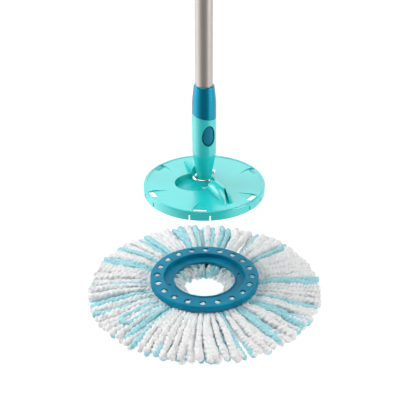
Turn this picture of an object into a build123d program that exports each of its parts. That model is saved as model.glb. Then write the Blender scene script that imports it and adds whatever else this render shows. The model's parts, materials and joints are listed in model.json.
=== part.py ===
from build123d import *
import os
from math import cos, radians, sin

# Spin mop with its clip-on head taken off, as photographed.
# Millimetres. +Z runs up the handle, -Y is the front with the release button,
# and the origin is on the floor under the middle of the mop head.

# Mop head
MOP_RADIUS = 165.0            # strand tips
RING_RADIUS = 76.3            # outside of the clamp ring
RING_TOP_Z = 30.0             # clamp ring's top above the floor
RING_SKIRT = 9.2              # height of the clamp ring's outer wall
RING_WALL = 2.2
RECESS_RADIUS = 57.0          # dish inside the ring's flange
RECESS_DEPTH = 6.6
RING_OPENING_RADIUS = 43.0    # hole in the middle of the ring
LACE_HOLES = 20
LACE_HOLE_RADIUS = 4.8
LACE_PHASE = 9.3              # azimuth of the first lace hole, degrees
SCREW_HOLE_RADIUS = 1.75
SCREW_AZIMUTH = -9.0
COUNTER_WALL = 2.4
PIN_RADIUS = 2.2
POST_RADIUS = 3.2
PIN_CLEARANCE = 0.3
YARN_GAP = 0.4                # under the clamp ring's outer wall
STRAND_WIDTH = 5.8
STRAND_HEIGHT = 6.0
LAYER_GAP = 0.2               # between white and aqua yarn
SECTORS = 10                  # yarn groups round the ring
SECTOR_GAP = 0.4
TUFT_REACH = 17.0             # yarn that sticks into the ring's opening
TUFT_WIDTH = 4.2

# Plate
HEAD_DROP = 149.3             # plate's top above the ring's top
SKIRT_CLEARANCE = 1.8         # round the clamp ring
PLATE_WALL = 2.4
PLATE_SKIRT = 12.8
RIM_STEP = 0.5                # raised band along the rim
RIM_BAND = 4.2
TABS = 6
TAB_PHASE = 1.0               # azimuth of the first tab, degrees
TAB_WIDTH = 26.4
SLIT_WIDTH = 2.0
SLIT_HEIGHT = 7.0
LIP_DEPTH = 1.1
WINDOW_WIDTH = 17.5
WINDOW_DEPTH = 8.3
WINDOW_CORNER = 2.6
RAMP_LENGTH = 18.0
RAMP_DEPTH = 1.3
WELL_HALF_WIDTH = 24.5        # oval well round the joint, front to back
WELL_SHIFT = 6.0              # well's middle behind the axis
WELL_SIDE = 11.0              # well's middle left of the axis
WELL_DEPTH = 9.6
WELL_LOW = 14.0               # deepest line behind the axis
WELL_DRAFT = 1.6              # how far its walls lean in
WELL_CLEARANCE = 0.8          # cup in the ring's opening
DRAIN_RADIUS = 4.5
LOCATOR_CLEARANCE = 0.6       # locating wall in the ring's dish
LOCATOR_HEIGHT = 4.5
RIB_WALL = 1.8

# Two-axis wire joint
WIRE_RADIUS = 1.5
WIRE_FIT = 0.06               # running fit in the bores
PIVOT_HEIGHT = 10.6           # above the plate's top
ARM_REACH = 16.5
BEND_RADIUS = 3.0
HUMP_CLEARANCE = 9.0          # wire arm to hump's crest
LEG_LENGTH = 10.5             # wire leg inside a hump
HUMP_HEIGHT = 14.8
HUMP_LENGTH = 39.0
BOSS_RADIUS = 2.4             # round the wire leg
ARCH_DEPTH = 4.0              # open arch in a hump's inner end
HUMP_LEAD = 2.0               # hump's inner end ahead of its bore

# Socket, collar and button
TUBE_RADIUS = 11.0
TUBE_WALL = 0.8
TUBE_FIT = 0.05
PLUG_WALL = 2.0
PLUG_CLEARANCE = 0.1
SOCKET_WALL = 2.4
NOSE_RADIUS = 10.1
NOSE_DROP = 5.6               # nose's end below the pivot
CONE_HEIGHT = 33.4            # pivot to the full radius
SOCKET_FLOOR = 37.9           # heights from here on are above the pivot
PLUG_BOTTOM = 39.9
WINDOW_BOTTOM = 48.1
WINDOW_WAIST = 60.1           # widest part of the egg
WINDOW_TOP = 77.1
WINDOW_HALF = 8.9
TUBE_SEAT = 80.9
SOCKET_TOP = 87.6
COLLAR_SHOULDER = 101.4
COLLAR_TOP = 127.8
JOINT_TILT = 13.0             # slant of the seam, degrees
JOINT_AZIMUTH = -50.0         # where the seam is lowest
JOINT_GAP = 0.4
BUTTON_GAP = 1.5              # round the button
BUTTON_RECESS = 1.1
BUTTON_BACK = 6.2             # button's back face from the axis
SPRING_WIRE = 0.45

# Handle and spin drive
TUBE_LENGTH = 464.0
UPPER_LENGTH = 730.0
UPPER_WALL = 0.8
SLEEVE_CLEARANCE = 1.2        # lower tube in the upper tube
RUN_FIT = 0.06
GUIDE_HEIGHT = 18.0
SNAP_HEIGHT = 1.5
BUSH_HEIGHT = 40.0
BUSH_FLANGE = 4.0
STOP_GAP = 1.0
LOCK_WALL = 4.5
LOCK_ABOVE = 28.0
LOCK_BELOW = 12.0
STROKE = 240.0
ROD_WIDTH = 8.0
ROD_THICKNESS = 2.0
ROD_LEAD = 120.0
ROD_CLEARANCE = 0.3
ANCHOR_HEIGHT = 24.0
TOOTH_COUNT = 8
TOOTH_HEIGHT = 2.0
TOOTH_WIDTH = 5.0
TOOTH_GAP = 0.25              # between the clutch's teeth
GRIP_WALL = 2.5
GRIP_LENGTH = 160.0
EYE_RADIUS = 5.5
EYE_WALL = 6.5
EYE_THICKNESS = 9.0

# Levels and radii that follow from the sizes above
LACE_CIRCLE = (RECESS_RADIUS + RING_RADIUS) / 2
SCREW_CIRCLE = (RING_OPENING_RADIUS + RECESS_RADIUS) / 2
RING_BOTTOM_Z = RING_TOP_Z - RING_SKIRT
FLOOR_UNDER_Z = RING_TOP_Z - RECESS_DEPTH - RING_WALL
WHITE_Z = RING_BOTTOM_Z - YARN_GAP - STRAND_HEIGHT / 2
AQUA_Z = WHITE_Z - STRAND_HEIGHT - LAYER_GAP
COUNTER_TOP_Z = AQUA_Z - STRAND_HEIGHT / 2
BAND_INNER = RING_OPENING_RADIUS + 3
BAND_OUTER = RING_RADIUS - RING_WALL - YARN_GAP

PLATE_TOP_Z = RING_TOP_Z + HEAD_DROP
PLATE_INNER = RING_RADIUS + SKIRT_CLEARANCE
PLATE_RADIUS = PLATE_INNER + PLATE_WALL
DECK_Z = PLATE_TOP_Z - RIM_STEP
UNDER_Z = DECK_Z - PLATE_WALL
SKIRT_Z = PLATE_TOP_Z - PLATE_SKIRT
WELL_HALF_LENGTH = RING_OPENING_RADIUS - WELL_CLEARANCE - PLATE_WALL - WELL_SIDE - WELL_SHIFT / 5
PIVOT_Z = PLATE_TOP_Z + PIVOT_HEIGHT
HUMP_START = ARM_REACH + WIRE_RADIUS + HUMP_CLEARANCE
LEG_END = HUMP_START + LEG_LENGTH

PLUG_RADIUS = TUBE_RADIUS + PLUG_WALL
SOCKET_BORE = PLUG_RADIUS + PLUG_CLEARANCE
SOCKET_RADIUS = SOCKET_BORE + SOCKET_WALL
PLUG_HOLLOW = TUBE_RADIUS - TUBE_WALL / 2
TUBE_BOTTOM_Z = PIVOT_Z + TUBE_SEAT
TUBE_TOP_Z = TUBE_BOTTOM_Z + TUBE_LENGTH
TUBE_BORE = TUBE_RADIUS - TUBE_WALL
UPPER_BORE = TUBE_RADIUS + SLEEVE_CLEARANCE
UPPER_RADIUS = UPPER_BORE + UPPER_WALL
GUIDE_TOP_Z = TUBE_TOP_Z - SNAP_HEIGHT - 2.5
GUIDE_BOTTOM_Z = GUIDE_TOP_Z - GUIDE_HEIGHT
UPPER_BOTTOM_Z = GUIDE_BOTTOM_Z - SNAP_HEIGHT - STOP_GAP - BUSH_HEIGHT
UPPER_TOP_Z = UPPER_BOTTOM_Z + UPPER_LENGTH
CAP_FLANGE = 3.0
SEAT_Z = TUBE_TOP_Z - 26
ROD_BOTTOM_Z = SEAT_Z - 16
ANCHOR_Z = TUBE_TOP_Z + CAP_FLANGE + STROKE + 10
ROD_PASS = ROD_WIDTH / 2 + 1.5
FLANGE_RADIUS = UPPER_RADIUS + 1.5
LOCK_RADIUS = UPPER_RADIUS + LOCK_WALL
GRIP_RADIUS = UPPER_RADIUS + GRIP_WALL


def rod(radius, low, high):
    """Upright cylinder between two heights."""
    return Pos(0, 0, (low + high) / 2) * Cylinder(radius, high - low)


def tube(outer, inner, low, high):
    return rod(outer, low, high) - rod(inner, low - 1, high + 1)


def turned(points):
    """Solid of revolution from (radius, height) corners."""
    outline = make_face(Polyline(*points, close=True))
    return revolve(Plane.XZ * outline, Axis.Z)


def turn(azimuth):
    return Rot(0, 0, azimuth)


def polar(radius, azimuth, z=0.0):
    return Pos(radius * cos(radians(azimuth)), radius * sin(radians(azimuth)), z)


def radial_slab(points, width):
    """Side outline of (radius, height) corners, given a width across."""
    outline = make_face(Polyline(*points, close=True))
    return extrude(Plane.XZ * outline, width / 2, both=True)


def rim(shape, z):
    """The outermost circular edge at a height."""
    flat = shape.edges().filter_by(GeomType.CIRCLE).filter_by_position(Axis.Z, z - 0.01, z + 0.01)
    return flat.sort_by(SortBy.RADIUS)[-1]


def clamp_ring():
    floor_z = RING_TOP_Z - RECESS_DEPTH
    ring = turned([
        (RING_OPENING_RADIUS, floor_z + 1.2),
        (RING_OPENING_RADIUS + 1.6, floor_z + 1.2),
        (RING_OPENING_RADIUS + 2.4, floor_z),
        (RECESS_RADIUS, floor_z),
        (RECESS_RADIUS, RING_TOP_Z),
        (RING_RADIUS, RING_TOP_Z),
        (RING_RADIUS, RING_BOTTOM_Z),
        (RING_RADIUS - RING_WALL, RING_BOTTOM_Z),
        (RING_RADIUS - RING_WALL, RING_TOP_Z - RING_WALL),
        (RECESS_RADIUS + RING_WALL, RING_TOP_Z - RING_WALL),
        (RECESS_RADIUS + RING_WALL, FLOOR_UNDER_Z),
        (RING_OPENING_RADIUS, FLOOR_UNDER_Z),
    ])
    ring = fillet(rim(ring, RING_TOP_Z), 1.6)
    dish_edge = ring.edges().filter_by(GeomType.CIRCLE).filter_by_position(
        Axis.Z, RING_TOP_Z - 0.01, RING_TOP_Z + 0.01).sort_by(SortBy.RADIUS)[0]
    ring = fillet(dish_edge, 0.8)
    holes = []
    for number in range(LACE_HOLES):
        azimuth = LACE_PHASE + number * 360 / LACE_HOLES
        holes.append(polar(LACE_CIRCLE, azimuth) * rod(LACE_HOLE_RADIUS, RING_TOP_Z - 4, RING_TOP_Z + 1))
    for azimuth in (SCREW_AZIMUTH, SCREW_AZIMUTH + 180):
        holes.append(polar(SCREW_CIRCLE, azimuth) * rod(SCREW_HOLE_RADIUS, FLOOR_UNDER_Z - 1, floor_z + 1))
    return ring - holes


def clamp_posts(clearance=0.0):
    """Pins under the lace holes and two screw posts, as a list."""
    posts = []
    for number in range(LACE_HOLES):
        azimuth = LACE_PHASE + number * 360 / LACE_HOLES
        pin = rod(PIN_RADIUS + clearance, COUNTER_TOP_Z - 1, RING_BOTTOM_Z - 1 + 9 * clearance)
        posts.append(polar(LACE_CIRCLE, azimuth) * pin)
    for azimuth in (SCREW_AZIMUTH, SCREW_AZIMUTH + 180):
        post = rod(POST_RADIUS + clearance, COUNTER_TOP_Z - 1, FLOOR_UNDER_Z + clearance)
        posts.append(polar(SCREW_CIRCLE, azimuth) * post)
    return posts


def counter_ring():
    ring = tube(BAND_OUTER - 1, BAND_INNER, COUNTER_TOP_Z - COUNTER_WALL, COUNTER_TOP_Z)
    ring = ring + clamp_posts()
    pilots = []
    for azimuth in (SCREW_AZIMUTH, SCREW_AZIMUTH + 180):
        pilot = rod(SCREW_HOLE_RADIUS - 0.4, COUNTER_TOP_Z + 2, FLOOR_UNDER_Z + 1)
        pilots.append(polar(SCREW_CIRCLE, azimuth) * pilot)
    return ring - pilots


def strand(middle_z, landing, tip_z):
    """One yarn strand along +X: out of the clamp, down to the floor, out to the tip."""
    half = STRAND_HEIGHT / 2
    knee = RING_RADIUS + 4
    root = LACE_CIRCLE
    return radial_slab([
        (root, middle_z - half),
        (knee, middle_z - half),
        (landing, tip_z - half),
        (MOP_RADIUS - 1.5, tip_z - half),
        (MOP_RADIUS, tip_z),
        (MOP_RADIUS - 1.5, tip_z + half),
        (landing, tip_z + half),
        (knee, middle_z + half),
        (root, middle_z + half),
    ], STRAND_WIDTH)


def tuft(middle_z):
    """Short yarn end along +X that sticks into the ring's opening."""
    half = STRAND_HEIGHT / 2
    inner = BAND_INNER - TUFT_REACH
    return radial_slab([
        (BAND_INNER + 4, middle_z + half),
        (BAND_INNER, middle_z + half),
        (inner, middle_z),
        (inner, middle_z - half),
        (BAND_INNER, middle_z - half),
        (BAND_INNER + 4, middle_z - half),
    ], TUFT_WIDTH)


def yarn_group(number, middle_z, top_z, landing, tip_z, stagger):
    """A sector of one yarn layer: clamped band, strands and tufts in one piece."""
    span = 360 / SECTORS
    middle = LACE_PHASE + span / 4 + number * span + stagger
    low = middle_z - STRAND_HEIGHT / 2
    band = tube(BAND_OUTER, BAND_INNER, low, top_z)
    edge = BAND_OUTER * 2
    for side in (-1, 1):
        trim = Pos(0, side * (edge / 2 - SECTOR_GAP / 2), 0) * Box(2 * edge, edge, 200)
        band = band - turn(middle + side * span / 2) * trim
    keep = turn(middle) * Pos(edge / 2, 0, 0) * Box(edge, 2 * edge, 200)
    band = band & keep
    pitch = span / 6
    pieces = []
    for step in range(6):
        azimuth = middle + (step - 2.5) * pitch
        pieces.append(turn(azimuth) * strand(middle_z, landing, tip_z))
    for step in range(4):
        azimuth = middle + (step - 1.5) * span / 4
        pieces.append(turn(azimuth) * tuft(middle_z))
    return (band + pieces) - clamp_posts(PIN_CLEARANCE)


def white_yarn(number):
    return yarn_group(number, WHITE_Z, FLOOR_UNDER_Z, MOP_RADIUS - 12, 8.0, 0.0)


def aqua_yarn(number):
    stagger = 360 / SECTORS / 12
    return yarn_group(
        number, AQUA_Z, AQUA_Z + STRAND_HEIGHT / 2, RING_RADIUS + 34, STRAND_HEIGHT / 2, stagger)


def hollow(grow, lift):
    """Oval well whose curved floor rises to the front; grown for the cup underneath."""
    reach = WELL_LOW - WELL_SHIFT + WELL_HALF_WIDTH
    floor_radius = (reach**2 + WELL_DEPTH**2) / (2 * WELL_DEPTH)
    low = WELL_DEPTH + grow + 1
    top = Ellipse(WELL_HALF_LENGTH + grow, WELL_HALF_WIDTH + grow)
    bottom = Ellipse(WELL_HALF_LENGTH + grow - WELL_DRAFT, WELL_HALF_WIDTH + grow - WELL_DRAFT)
    walls = Pos(-WELL_SIDE, WELL_SHIFT, DECK_Z) * loft([Pos(0, 0, lift) * top, Pos(0, 0, -low) * bottom])
    across = Rot(0, 90, 0) * Cylinder(floor_radius + grow, 6 * WELL_HALF_LENGTH)
    return walls & Pos(0, WELL_LOW, DECK_Z - WELL_DEPTH + floor_radius) * across


def hump_section(out, left, crest_left, crest_right, right, height):
    """Rounded cross-section of a bearing hump at a distance from the axis."""
    back = Spline(
        (left, 0), (crest_left, 0.86 * height), ((crest_left + crest_right) / 2, height),
        (crest_right, 0.86 * height), (right, 0))
    base = Polyline((right, 0), (right, -1), (left, -1), (left, 0))
    return Plane((0, -out, DECK_Z), x_dir=(1, 0, 0), z_dir=(0, -1, 0)) * make_face([back, base])


def hump(low):
    """Bearing hump on the front: broad left flank, notch, thin right rib, and an arch cut down to low."""
    top = HUMP_HEIGHT
    end = HUMP_START + HUMP_LENGTH
    wedge = loft([
        hump_section(HUMP_START - HUMP_LEAD, -5.2, -3.6, 8.8, 11.5, 0.93 * top),
        hump_section(HUMP_START + 12, -4.6, -2.2, 10.2, 13.4, 0.92 * top),
        hump_section(end, -1.5, 0.3, 8.6, 10.2, 0.05 * top),
    ])
    notch = make_face(Polyline(
        (6.3, -HUMP_START - 19), (9.0, -HUMP_START - 18), (4.4, -end - 4), (-0.6, -end - 4), close=True))
    wedge = wedge - Pos(0, 0, DECK_Z) * extrude(notch, top)
    along = Pos(0, -HUMP_START, PIVOT_Z) * Rot(90, 0, 0)
    boss = along * Pos(0, 0, LEG_LENGTH / 2) * Cylinder(BOSS_RADIUS, LEG_LENGTH + 2)
    rise = PIVOT_Z - DECK_Z
    arch = make_face(Polyline((-3.2, low), (-1.9, rise), (1.9, rise), (3.2, low), close=True))
    arch = arch + Pos(0, rise) * Circle(1.9)
    ahead = HUMP_CLEARANCE - 1
    opening = Plane((0, ahead - HUMP_START, DECK_Z), x_dir=(1, 0, 0), z_dir=(0, -1, 0)) * arch
    bore = Cylinder(WIRE_RADIUS + WIRE_FIT, LEG_LENGTH + 0.5)
    bore = along * Pos(0, 0, (LEG_LENGTH + 0.5) / 2) * bore
    return wedge + boss, bore + extrude(opening, ahead + ARCH_DEPTH)


def mop_plate():
    plate = rod(PLATE_RADIUS, SKIRT_Z, PLATE_TOP_Z)
    plate = fillet(rim(plate, PLATE_TOP_Z), 1.8)
    plate = plate - rod(PLATE_RADIUS - RIM_BAND, DECK_Z, PLATE_TOP_Z + 1)
    plate = plate - rod(PLATE_INNER, SKIRT_Z - 1, UNDER_Z)

    # Cup of the well, locating wall and ribs underneath.
    inside_ring = rod(RING_OPENING_RADIUS - WELL_CLEARANCE, SKIRT_Z - 10, DECK_Z)
    plate = plate + (hollow(PLATE_WALL, 0) & inside_ring)
    locator = RECESS_RADIUS - LOCATOR_CLEARANCE
    plate = plate + tube(locator, locator - RIB_WALL, UNDER_Z - LOCATOR_HEIGHT, UNDER_Z + 1)
    ribs = []
    for number in range(TABS):
        rib = Pos(locator / 2 + 10, 0, UNDER_Z - 1.5) * Box(locator - 22, RIB_WALL, 5)
        ribs.append(turn(30 + number * 360 / TABS) * rib)
    plate = plate + ribs

    # Snap tabs: a lip inside each, freed by two slits.
    lip = turned([
        (PLATE_INNER + 0.5, SKIRT_Z + 0.6),
        (PLATE_INNER - LIP_DEPTH + 0.4, SKIRT_Z + 0.6),
        (PLATE_INNER - LIP_DEPTH, SKIRT_Z + 1.4),
        (PLATE_INNER + 0.5, SKIRT_Z + 3.2),
    ])
    tools = []
    for number in range(TABS):
        azimuth = TAB_PHASE + number * 360 / TABS
        reach = turn(azimuth) * Pos(PLATE_INNER, 0, SKIRT_Z) * Box(20, TAB_WIDTH - 4, 20)
        plate = plate + (lip & reach)
        for side in (-1, 1):
            slit = Pos(PLATE_INNER, side * TAB_WIDTH / 2, SKIRT_Z) * Box(12, SLIT_WIDTH, 2 * SLIT_HEIGHT)
            tools.append(turn(azimuth) * slit)
        outer = PLATE_INNER
        inner = outer - WINDOW_DEPTH
        opening = RectangleRounded(WINDOW_DEPTH, WINDOW_WIDTH, WINDOW_CORNER)
        window = Pos((outer + inner) / 2, 0, DECK_Z - 6) * extrude(opening, 12)
        tip = inner - RAMP_LENGTH
        ramp = radial_slab([(tip, 0), (outer - 4, -RAMP_DEPTH), (outer - 4, 2), (tip, 2)], WINDOW_WIDTH)
        half = WINDOW_WIDTH / 2
        spread = make_face(Polyline(
            (tip, 0), (inner, half), (outer, half), (outer, -half), (inner, -half), close=True))
        ramp = ramp & Pos(0, 0, -5) * extrude(spread, 10)
        tools.append(turn(azimuth) * window)
        tools.append(turn(azimuth) * Pos(0, 0, DECK_Z) * ramp)
    plate = plate - tools - hollow(0, 3)

    # Two mirrored humps; the back one stands on a footing in the well.
    front, front_bore = hump(-1)
    back, back_bore = (mirror(piece, Plane.XZ) for piece in hump(2 - WELL_DEPTH))
    middle = Pos(3.15, HUMP_START - HUMP_LEAD + 5, DECK_Z - WELL_DEPTH / 2)
    footing = middle * Box(16.7, 10, WELL_DEPTH) & hollow(PLATE_WALL / 2, 0)
    plate = plate + [front, back, footing]
    drain = rod(DRAIN_RADIUS, DECK_Z - WELL_DEPTH - 2 * PLATE_WALL, PLATE_TOP_Z)
    return plate - [front_bore, back_bore, drain]


def joint_wire():
    """One bent wire: a leg in each hump and a middle leg through the socket's nose."""
    wide = ARM_REACH - BEND_RADIUS - 0.5
    path = FilletPolyline(
        (0, -LEG_END), (0, -ARM_REACH), (-ARM_REACH, -ARM_REACH), (-ARM_REACH, 0),
        (ARM_REACH, 0), (ARM_REACH, ARM_REACH), (0, ARM_REACH), (0, LEG_END),
        radius=[BEND_RADIUS, wide, BEND_RADIUS, BEND_RADIUS, wide, BEND_RADIUS])
    wire = sweep(Plane(path @ 0, z_dir=path % 0) * Circle(WIRE_RADIUS), path=path)
    return Pos(0, 0, PIVOT_Z) * wire


def seam(height):
    """Slanted plane between socket and collar."""
    lean = sin(radians(JOINT_TILT))
    normal = (
        lean * cos(radians(JOINT_AZIMUTH)), lean * sin(radians(JOINT_AZIMUTH)), cos(radians(JOINT_TILT)))
    return Plane((0, 0, PIVOT_Z + height), z_dir=normal)


def egg(shrink, near, far):
    """Egg-shaped prism through the front wall, between two distances from the axis."""
    waist = PIVOT_Z + WINDOW_WAIST
    half = WINDOW_HALF - shrink
    low = WINDOW_WAIST - WINDOW_BOTTOM - shrink
    high = WINDOW_TOP - WINDOW_WAIST - shrink
    outline = make_face([
        EllipticalCenterArc((0, waist), half, high, start_angle=0, arc_size=180),
        EllipticalCenterArc((0, waist), half, low, start_angle=180, arc_size=180),
    ])
    return extrude(Plane((0, -near, 0), x_dir=(1, 0, 0), z_dir=(0, -1, 0)) * outline, far - near)


def handle_socket():
    body = turned([
        (0, -NOSE_DROP), (NOSE_RADIUS - 0.6, -NOSE_DROP), (NOSE_RADIUS, 0),
        (SOCKET_RADIUS, CONE_HEIGHT), (SOCKET_RADIUS, SOCKET_TOP + 8), (0, SOCKET_TOP + 8),
    ])
    body = fillet(rim(body, CONE_HEIGHT), 35)
    body = fillet(rim(body, -NOSE_DROP), 1.8)
    body = Pos(0, 0, PIVOT_Z) * body
    body = body - seam(SOCKET_TOP) * Pos(0, 0, 50) * Box(100, 100, 100)
    body = body - rod(SOCKET_BORE, PIVOT_Z + SOCKET_FLOOR, PIVOT_Z + SOCKET_TOP + 20)
    cross = Pos(0, 0, PIVOT_Z) * Rot(0, 90, 0) * Cylinder(WIRE_RADIUS + WIRE_FIT, 60)
    keyhole = Pos(0, 0, PIVOT_Z - NOSE_DROP) * Box(60, 1.6 * WIRE_RADIUS, 2 * NOSE_DROP)
    return body - [cross, keyhole, egg(0, 0, 30)]


def click_collar():
    head = COLLAR_TOP - COLLAR_SHOULDER
    shell = turned([
        (0, PLUG_BOTTOM + 40), (SOCKET_RADIUS, PLUG_BOTTOM + 40), (SOCKET_RADIUS, COLLAR_SHOULDER),
        (SOCKET_RADIUS - 0.4, COLLAR_SHOULDER + 0.3 * head),
        (SOCKET_RADIUS - 2.4, COLLAR_TOP), (0, COLLAR_TOP),
    ])
    shell = fillet(rim(shell, COLLAR_TOP), 1.2)
    shell = Pos(0, 0, PIVOT_Z) * shell
    shell = shell - seam(SOCKET_TOP + JOINT_GAP) * Pos(0, 0, -50) * Box(100, 100, 100)
    plug = rod(PLUG_RADIUS, PIVOT_Z + PLUG_BOTTOM, PIVOT_Z + SOCKET_TOP + 6)
    body = shell + plug
    body = body - rod(TUBE_RADIUS + TUBE_FIT, TUBE_BOTTOM_Z, PIVOT_Z + COLLAR_TOP + 1)
    body = body - rod(PLUG_HOLLOW, PIVOT_Z + PLUG_BOTTOM + 3, TUBE_BOTTOM_Z + 1)
    return body - egg(BUTTON_GAP / 2, 0, 30)


def release_button():
    cap = egg(BUTTON_GAP, BUTTON_BACK, 30)
    cap = cap & rod(SOCKET_RADIUS - BUTTON_RECESS, PIVOT_Z, PIVOT_Z + SOCKET_TOP)
    face = cap.faces().sort_by(Axis.Y)[0]
    cap = fillet(face.edges(), 0.6)
    flange = egg(BUTTON_GAP - 3, BUTTON_BACK, BUTTON_BACK + 3)
    flange = flange & rod(PLUG_HOLLOW - 0.4, PIVOT_Z, PIVOT_Z + SOCKET_TOP)
    middle = PIVOT_Z + (WINDOW_BOTTOM + WINDOW_TOP) / 2
    stem = Pos(0, -BUTTON_BACK + 3.5, middle) * Rot(90, 0, 0) * Cylinder(2.8, 8)
    return cap + [flange, stem]


def button_spring():
    reach = PLUG_HOLLOW - 1.6
    length = BUTTON_BACK + reach - 2 * SPRING_WIRE
    coil = Helix(pitch=length / 5, height=length, radius=4.0)
    wire = sweep(Plane(coil @ 0, z_dir=coil % 0) * Circle(SPRING_WIRE), path=coil, is_frenet=True)
    middle = PIVOT_Z + (WINDOW_BOTTOM + WINDOW_TOP) / 2
    return Pos(0, -BUTTON_BACK + SPRING_WIRE, middle) * Rot(-90, 0, 0) * wire


def lower_tube():
    return tube(TUBE_RADIUS, TUBE_BORE, TUBE_BOTTOM_Z, TUBE_TOP_Z)


def snap_ring(low):
    ring = tube(UPPER_BORE - 0.35, TUBE_RADIUS, low, low + SNAP_HEIGHT)
    return ring - Pos(TUBE_RADIUS, 0, low) * Box(8, 3, 10)


def snap_ring_top():
    return snap_ring(GUIDE_TOP_Z + 0.1)


def snap_ring_bottom():
    return snap_ring(GUIDE_BOTTOM_Z - 0.1 - SNAP_HEIGHT)


def guide_bush():
    return tube(UPPER_BORE - RUN_FIT, TUBE_RADIUS + RUN_FIT, GUIDE_BOTTOM_Z, GUIDE_TOP_Z)


def teeth(outline, inner):
    """Ring of teeth from one outline of (across, height) corners on the clutch seat, as a list."""
    upright = Plane((inner, 0, SEAT_Z), x_dir=(0, 1, 0), z_dir=(1, 0, 0))
    tooth = extrude(upright * make_face(Polyline(*outline, close=True)), TUBE_BORE - 0.6 - inner)
    return [turn(number * 360 / TOOTH_COUNT) * tooth for number in range(TOOTH_COUNT)]


def clutch_seat():
    saw = [(0, -0.5), (TOOTH_WIDTH, -0.5), (TOOTH_WIDTH, 0), (0, TOOTH_HEIGHT)]
    seat = tube(TUBE_BORE, ROD_PASS, SEAT_Z - 14, SEAT_Z)
    return (seat + teeth(saw, ROD_PASS)) & rod(TUBE_BORE, SEAT_Z - 14, SEAT_Z + TOOTH_HEIGHT)


def twisted_strip(width, thickness, low, high):
    """Flat strip twisted about the axis; its turn depends only on the height."""
    path = Line((0, 0, low), (0, 0, high))
    guide = Pos(0, 0, low) * Helix(pitch=ROD_LEAD, height=high - low, radius=10)
    strip = sweep(Pos(0, 0, low) * Rectangle(width, thickness), path=path, binormal=guide.edge())
    return turn(360 * (low - ROD_BOTTOM_Z) / ROD_LEAD) * strip


def drive_nut():
    """Nut on the twisted rod, with teeth that hang into the gaps of the seat's."""
    body_z = TOOTH_HEIGHT + 2 * TOOTH_GAP
    near = TOOTH_GAP
    far = TOOTH_WIDTH - TOOTH_GAP
    fall = TOOTH_HEIGHT / TOOTH_WIDTH
    saw = [
        (near, body_z + 0.5), (far, body_z + 0.5),
        (far, TOOTH_HEIGHT - far * fall + TOOTH_GAP), (near, TOOTH_HEIGHT - near * fall + TOOTH_GAP)]
    outside = TUBE_BORE - 0.4
    nut = rod(outside, SEAT_Z + body_z, SEAT_Z + 10) + teeth(saw, ROD_PASS + TOOTH_GAP)
    nut = nut & rod(outside, SEAT_Z, SEAT_Z + 10)
    slot = twisted_strip(
        ROD_WIDTH + 2 * ROD_CLEARANCE, ROD_THICKNESS + 2 * ROD_CLEARANCE, SEAT_Z - 2, SEAT_Z + 12)
    return nut - slot


def clutch_spring():
    low = SEAT_Z + 10.6
    high = TUBE_TOP_Z - 6.6
    coil = Helix(pitch=(high - low) / 4, height=high - low, radius=TUBE_BORE - 2)
    wire = sweep(Plane(coil @ 0, z_dir=coil % 0) * Circle(0.6), path=coil, is_frenet=True)
    return Pos(0, 0, low) * wire


def clutch_cap():
    plug = rod(TUBE_BORE, TUBE_TOP_Z - 6, TUBE_TOP_Z)
    flange = rod(TUBE_RADIUS, TUBE_TOP_Z, TUBE_TOP_Z + CAP_FLANGE)
    return plug + flange - rod(ROD_PASS, TUBE_TOP_Z - 10, TUBE_TOP_Z + 10)


def twisted_rod():
    return twisted_strip(ROD_WIDTH, ROD_THICKNESS, ROD_BOTTOM_Z, ANCHOR_Z + ANCHOR_HEIGHT - 4)


def anchor_bore():
    """Cross pin beside the twisted rod, longer than the tube is wide."""
    return Pos(UPPER_BORE / 2 + 1, 0, ANCHOR_Z + ANCHOR_HEIGHT / 2) * Rot(90, 0, 0) * Cylinder(1.5, 60)


def rod_anchor():
    block = rod(UPPER_BORE, ANCHOR_Z, ANCHOR_Z + ANCHOR_HEIGHT)
    strip = twisted_strip(ROD_WIDTH, ROD_THICKNESS, ROD_BOTTOM_Z, ANCHOR_Z + ANCHOR_HEIGHT - 4)
    return block - strip - anchor_bore()


def anchor_pin():
    return anchor_bore() & rod(UPPER_RADIUS, ANCHOR_Z, ANCHOR_Z + ANCHOR_HEIGHT)


def upper_tube():
    return tube(UPPER_RADIUS, UPPER_BORE, UPPER_BOTTOM_Z, UPPER_TOP_Z) - anchor_bore()


def bottom_bush():
    bore = TUBE_RADIUS + RUN_FIT
    sleeve = tube(UPPER_BORE, bore, UPPER_BOTTOM_Z - 0.5, UPPER_BOTTOM_Z + BUSH_HEIGHT)
    return sleeve + tube(FLANGE_RADIUS, bore, UPPER_BOTTOM_Z - BUSH_FLANGE, UPPER_BOTTOM_Z)


def lock_collar():
    low = UPPER_BOTTOM_Z - LOCK_BELOW
    high = UPPER_BOTTOM_Z + LOCK_ABOVE
    body = turned([
        (0, low), (LOCK_RADIUS - 2.5, low), (LOCK_RADIUS, low + 8), (LOCK_RADIUS, high), (0, high)])
    body = fillet(rim(body, high), 2)
    body = fillet(rim(body, low), 1)
    flutes = []
    for number in range(18):
        flute = Pos(LOCK_RADIUS + 1.6, 0, UPPER_BOTTOM_Z + 11) * Cylinder(2.2, 22)
        flutes.append(turn(number * 20) * flute)
    body = body - flutes
    body = body - rod(UPPER_RADIUS + RUN_FIT, UPPER_BOTTOM_Z - 1, high + 1)
    body = body - rod(FLANGE_RADIUS + 0.35, UPPER_BOTTOM_Z - BUSH_FLANGE - 0.35, UPPER_BOTTOM_Z + 0.35)
    return body - rod(TUBE_RADIUS + 0.5, low - 1, UPPER_BOTTOM_Z)


def hand_grip():
    low = UPPER_TOP_Z - GRIP_LENGTH
    grooves = []
    for number in range(6):
        z = low + 10 + number * 5
        grooves.append(Pos(0, 0, z) * Torus(GRIP_RADIUS + 0.6, 1.4))
    body = rod(GRIP_RADIUS, low, UPPER_TOP_Z)
    body = fillet(rim(body, low), 1.2)
    return body - grooves - rod(UPPER_RADIUS, low - 1, UPPER_TOP_Z + 1)


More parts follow.
